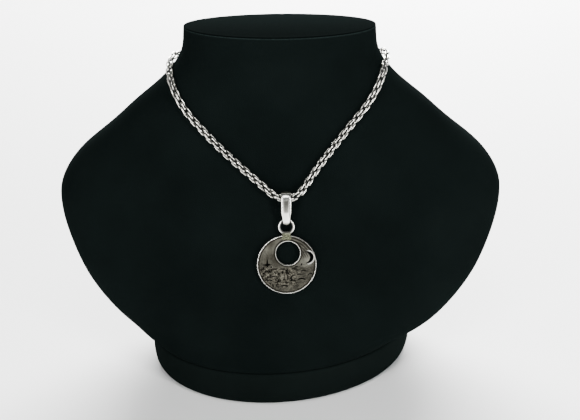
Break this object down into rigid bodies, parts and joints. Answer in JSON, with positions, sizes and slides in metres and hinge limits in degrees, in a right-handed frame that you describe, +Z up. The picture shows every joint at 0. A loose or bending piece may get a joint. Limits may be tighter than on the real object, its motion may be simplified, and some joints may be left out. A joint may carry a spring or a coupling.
{
  "type": "disc pendant on a neck bust",
  "caption": "Round pierced silver disc pendant with a round window, hung by a soldered loop and a tapered bail from a link chain on a plain velvet neck bust.",
  "frame": {"origin": "centre of the foot's flat underside", "axes": "+Z up, the chest and the pendant face -Y, +X to the viewer's right across the shoulders"},
  "size_m": [0.2076, 0.1037, 0.162],
  "materials": {
    "bust_foot": "black velvet over a board",
    "neck_bust": "black velvet",
    "chain_left": "bright polished silver",
    "chain_right": "bright polished silver",
    "clasp": "bright polished silver",
    "bail": "satin silver with polished edges",
    "disc_pendant": "satin silver, oxidised grey-brown in the recesses, rims polished"
  },
  "bodies": {
    "bust": {"bust_foot": "bust_foot", "neck_bust": "neck_bust", "chain_left": "chain_left", "chain_right": "chain_right", "clasp": "clasp"},
    "bail": {"bail": "bail"},
    "pendant": {"disc_pendant": "disc_pendant"}
  },
  "joints": [
    {"name": "bail_swing", "type": "hinge", "parent": "bust", "child": "bail", "pos_m": [0.00144, -0.02876, 0.09386], "axis": [-1, 0, 0], "range_deg": [0, 75]},
    {"name": "pendant_swing", "type": "hinge", "parent": "bail", "child": "pendant", "pos_m": [0.00144, -0.03134, 0.08503], "axis": [-1, 0, 0], "range_deg": [0, 90]}
  ]
}
